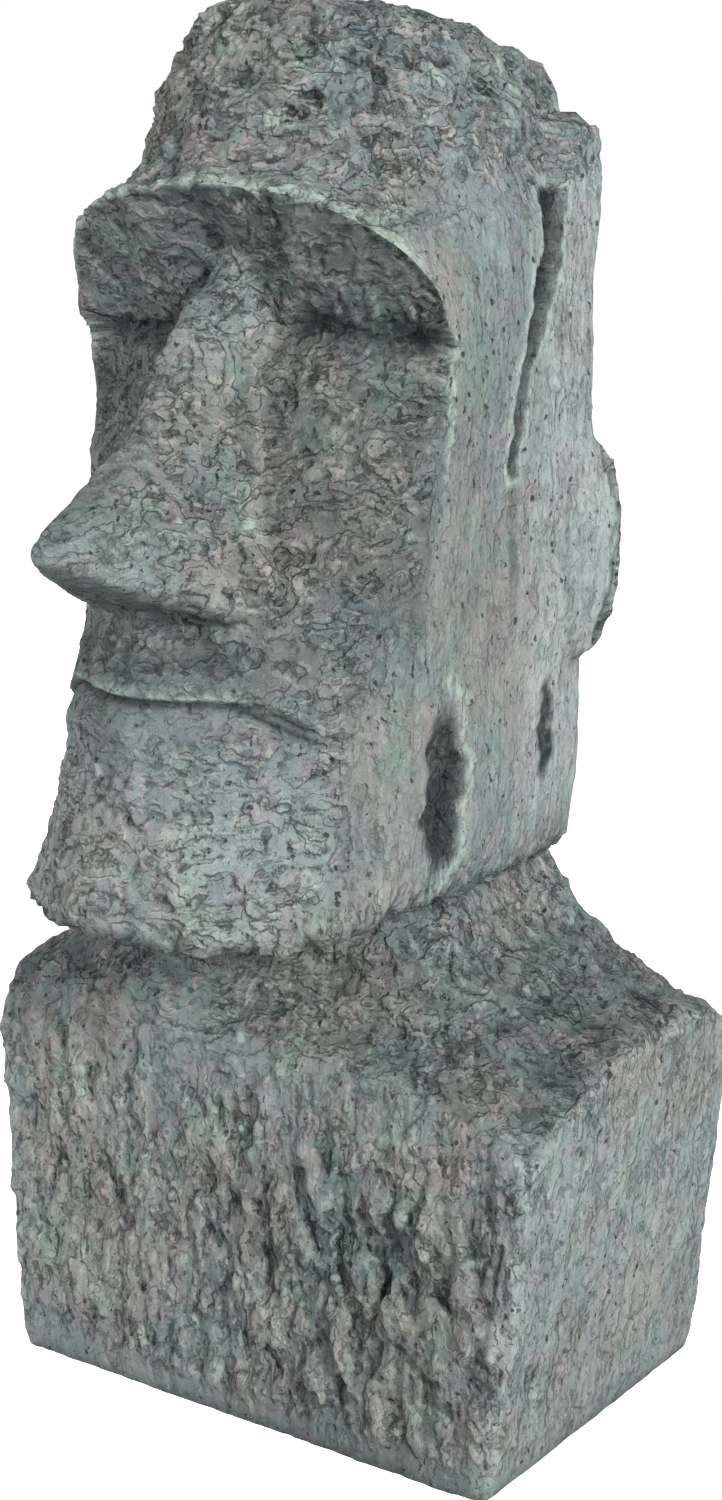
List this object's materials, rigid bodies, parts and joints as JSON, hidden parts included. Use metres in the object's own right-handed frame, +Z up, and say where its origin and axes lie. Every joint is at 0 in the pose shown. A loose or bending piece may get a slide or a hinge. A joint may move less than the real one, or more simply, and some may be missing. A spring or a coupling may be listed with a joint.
{
  "type": "moai statue",
  "caption": "Garden statue of a moai stone head: long face with heavy arched brow and wedge nose on a square-shouldered block base, cast in one piece with a rough chiselled stone finish.",
  "frame": {"origin": "centre of the block base's flat underside", "axes": "+Z up, -Y the way the face looks, +X towards the statue's own left ear"},
  "size_m": [0.3049, 0.3077, 0.6235],
  "materials": {
    "stone_cast": "rough hand-painted stone look: grey body, dark teal in the hollows, pale green dry-brushed edges"
  },
  "bodies": {
    "root": {"moai_statue": "stone_cast"}
  },
  "joints": []
}
